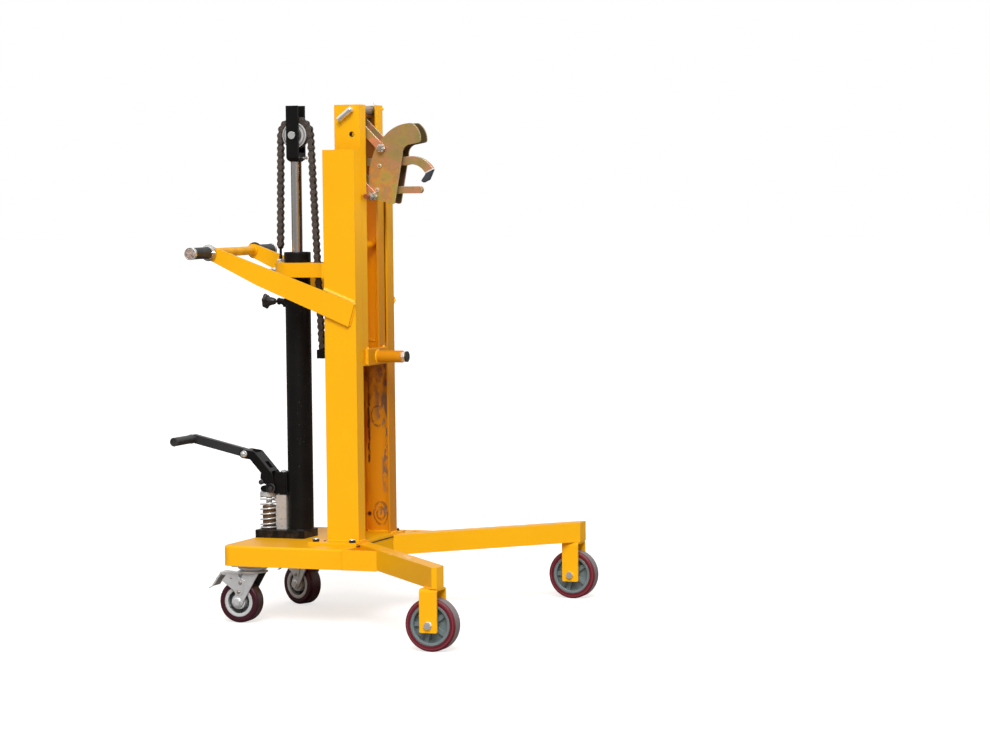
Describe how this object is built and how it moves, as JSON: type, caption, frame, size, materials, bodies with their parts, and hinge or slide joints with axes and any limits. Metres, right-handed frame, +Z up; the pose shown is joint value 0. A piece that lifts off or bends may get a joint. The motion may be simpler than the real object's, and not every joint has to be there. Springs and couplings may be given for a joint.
{
  "type": "manual drum lifter",
  "caption": "Hand-pumped drum lifter: splayed legs on wheels, a channel mast with a chain-raised carriage, a beak gripper for a drum's rim, a push handle and a pump lever.",
  "frame": {"origin": "middle of the footprint, on the floor", "axes": "+Z up, +X forward to the drum, +Y to the machine's left"},
  "size_m": [1.0985, 1.2496, 1.522],
  "materials": {
    "yellow_paint": "semi-gloss amber yellow paint",
    "black_paint": "semi-gloss black paint",
    "zinc_steel": "bright zinc plate",
    "gold_zinc_steel": "yellow-passivated zinc plate",
    "chrome": "polished hard chrome",
    "chain_steel": "oiled dark steel",
    "black_rubber": "matt moulded rubber",
    "burgundy_tyre": "smooth polyurethane",
    "hub_grey": "smooth moulded hub",
    "pale_hub": "smooth moulded hub",
    "black_plastic": "moulded plastic",
    "pump_grey": "pale grey painted casting"
  },
  "bodies": {
    "chassis": {"base_pan": "yellow_paint", "right_leg": "yellow_paint", "left_leg": "yellow_paint", "leg_gussets": "yellow_paint", "wheel_forks": "yellow_paint", "mast_foot_plate": "yellow_paint", "mast_channels": "yellow_paint", "cylinder_bracket": "yellow_paint", "handle_arms": "yellow_paint", "handle_crossbar": "yellow_paint", "handle_grips": "black_rubber", "grip_caps_and_collars": "chrome", "chassis_bolts": "zinc_steel", "cylinder_base": "black_paint", "cylinder_tube": "black_paint", "gland_nut": "black_paint", "chain_anchor": "chain_steel", "chain_rear_run": "chain_steel", "pump_body": "pump_grey", "pump_spring": "zinc_steel", "lever_bracket": "black_paint", "caster_plates": "zinc_steel"},
    "right_front_wheel": {"right_front_tyre": "burgundy_tyre", "right_front_hub": "hub_grey"},
    "left_front_wheel": {"left_front_tyre": "burgundy_tyre", "left_front_hub": "hub_grey"},
    "right_caster": {"right_caster_fork": "zinc_steel"},
    "right_caster_wheel": {"right_caster_tyre": "burgundy_tyre", "right_caster_hub": "pale_hub"},
    "right_brake": {"right_caster_brake": "zinc_steel"},
    "left_caster": {"left_caster_fork": "zinc_steel"},
    "left_caster_wheel": {"left_caster_tyre": "burgundy_tyre", "left_caster_hub": "pale_hub"},
    "left_brake": {"left_caster_brake": "zinc_steel"},
    "ram_head": {"piston_rod": "chrome", "head_clevis": "black_paint", "sheave_pin": "zinc_steel", "chain_over_sheave": "chain_steel"},
    "sheave_wheel": {"sheave": "zinc_steel"},
    "carriage": {"carriage_channels": "yellow_paint", "carriage_crossbox": "yellow_paint", "bumper_bolt": "zinc_steel", "bumper_pad": "black_rubber", "chain_front_run": "chain_steel", "chain_lower_anchor": "black_paint", "head_slide": "yellow_paint"},
    "upper_roller_pair": {"upper_rollers": "zinc_steel"},
    "lower_roller_pair": {"lower_rollers": "zinc_steel"},
    "height_lock_pin": {"height_pin": "zinc_steel"},
    "upper_link_pair": {"upper_links": "gold_zinc_steel"},
    "lower_link_pair": {"lower_links": "gold_zinc_steel"},
    "gripper": {"gripper_plates": "gold_zinc_steel", "gripper_pins": "gold_zinc_steel"},
    "hook_jaw": {"upper_jaw": "gold_zinc_steel"},
    "rest_jaw": {"lower_jaw": "gold_zinc_steel"},
    "plunger": {"pump_plunger": "zinc_steel"},
    "lever_fork": {"lever_socket": "black_paint"},
    "folding_arm": {"lever_arm": "black_paint", "lever_grip": "black_rubber"},
    "valve_knob": {"release_knob": "black_plastic"}
  },
  "joints": [
    {"name": "ram_lift", "type": "slide", "parent": "chassis", "child": "ram_head", "axis": [0, 0, 1], "range_m": [-0.25, 0], "deforming": ["chain_rear_run"]},
    {"name": "carriage_lift", "type": "slide", "parent": "ram_head", "child": "carriage", "axis": [0, 0, 1], "range_m": [-0.25, 0], "deforming": ["chain_front_run"]},
    {"name": "sheave_turn", "type": "hinge", "parent": "ram_head", "child": "sheave_wheel", "pos_m": [-0.18525, 0, 1.4345], "axis": [0, -1, 0], "range_deg": [-300, 5]},
    {"name": "upper_roller_turn", "type": "hinge", "parent": "carriage", "child": "upper_roller_pair", "pos_m": [0.01475, 0, 1.32], "axis": [0, 1, 0], "range_deg": [-660, 5]},
    {"name": "lower_roller_turn", "type": "hinge", "parent": "carriage", "child": "lower_roller_pair", "pos_m": [0.01475, 0, 0.8], "axis": [0, -1, 0], "range_deg": [-660, 5]},
    {"name": "height_pin_pull", "type": "slide", "parent": "carriage", "child": "height_lock_pin", "axis": [0, -1, 0], "range_m": [0, 0.19]},
    {"name": "upper_link_swing", "type": "hinge", "parent": "carriage", "child": "upper_link_pair", "pos_m": [0.02275, 0, 1.474], "axis": [0, -1, 0], "range_deg": [0, 35]},
    {"name": "gripper_level", "type": "hinge", "parent": "upper_link_pair", "child": "gripper", "pos_m": [0.10477, 0, 1.39198], "axis": [0, -1, 0], "range_deg": [-35, 0]},
    {"name": "lower_link_swing", "type": "hinge", "parent": "carriage", "child": "lower_link_pair", "pos_m": [-0.00325, 0, 1.333], "axis": [0, -1, 0], "range_deg": [0, 35]},
    {"name": "hook_jaw_open", "type": "hinge", "parent": "gripper", "child": "hook_jaw", "pos_m": [0.09677, 0, 1.33998], "axis": [0, -1, 0], "range_deg": [0, 36]},
    {"name": "rest_jaw_open", "type": "hinge", "parent": "gripper", "child": "rest_jaw", "pos_m": [0.08777, 0, 1.26898], "axis": [0, 1, 0], "range_deg": [0, 18]},
    {"name": "right_front_wheel_roll", "type": "hinge", "parent": "chassis", "child": "right_front_wheel", "pos_m": [0.47425, -0.58, 0.075], "axis": [0, 1, 0], "continuous": true},
    {"name": "left_front_wheel_roll", "type": "hinge", "parent": "chassis", "child": "left_front_wheel", "pos_m": [0.47425, 0.58, 0.075], "axis": [0, 1, 0], "continuous": true},
    {"name": "right_caster_swivel", "type": "hinge", "parent": "chassis", "child": "right_caster", "pos_m": [-0.24925, -0.205, 0.1], "axis": [0, 0, 1], "continuous": true},
    {"name": "right_caster_roll", "type": "hinge", "parent": "right_caster", "child": "right_caster_wheel", "pos_m": [-0.28725, -0.205, 0.0625], "axis": [0, 1, 0], "continuous": true},
    {"name": "right_brake_press", "type": "hinge", "parent": "right_caster", "child": "right_brake", "pos_m": [-0.26625, -0.205, 0.1375], "axis": [0, -1, 0], "range_deg": [0, 20]},
    {"name": "left_caster_swivel", "type": "hinge", "parent": "chassis", "child": "left_caster", "pos_m": [-0.24925, 0.205, 0.1], "axis": [0, 0, 1], "continuous": true},
    {"name": "left_caster_roll", "type": "hinge", "parent": "left_caster", "child": "left_caster_wheel", "pos_m": [-0.28448, 0.21924, 0.0625], "axis": [0.3746, 0.9272, 0], "continuous": true},
    {"name": "left_brake_press", "type": "hinge", "parent": "left_caster", "child": "left_brake", "pos_m": [-0.26501, 0.21137, 0.1375], "axis": [-0.3746, -0.9272, 0], "range_deg": [0, 20]},
    {"name": "pump_lever_press", "type": "hinge", "parent": "chassis", "child": "lever_fork", "pos_m": [-0.27025, 0, 0.3833], "axis": [0, -1, 0], "range_deg": [0, 35], "stiffness_Nm_per_rad": 6, "springref_deg": -57.3},
    {"name": "plunger_stroke", "type": "slide", "parent": "chassis", "child": "plunger", "axis": [0, 0, -1], "range_m": [0, 0.016], "deforming": ["pump_spring"]},
    {"name": "lever_arm_fold", "type": "hinge", "parent": "lever_fork", "child": "folding_arm", "pos_m": [-0.36025, 0, 0.4813], "axis": [0, 1, 0], "range_deg": [0, 100]},
    {"name": "release_knob_turn", "type": "hinge", "parent": "chassis", "child": "valve_knob", "pos_m": [-0.26925, 0, 0.94], "axis": [1, 0, 0], "range_deg": [0, 270]}
  ],
  "couplings": [
    {"joint": "carriage_lift", "follows": "ram_lift", "ratio": 1},
    {"joint": "sheave_turn", "follows": "ram_lift", "rad_per_m": 20.614},
    {"joint": "upper_roller_turn", "follows": "ram_lift", "rad_per_m": 45.767},
    {"joint": "lower_roller_turn", "follows": "ram_lift", "rad_per_m": 45.767},
    {"joint": "gripper_level", "follows": "upper_link_swing", "ratio": -1},
    {"joint": "lower_link_swing", "follows": "upper_link_swing", "ratio": 1},
    {"joint": "rest_jaw_open", "follows": "hook_jaw_open", "ratio": 0.5},
    {"joint": "plunger_stroke", "follows": "pump_lever_press", "m_per_rad": 0.024}
  ]
}
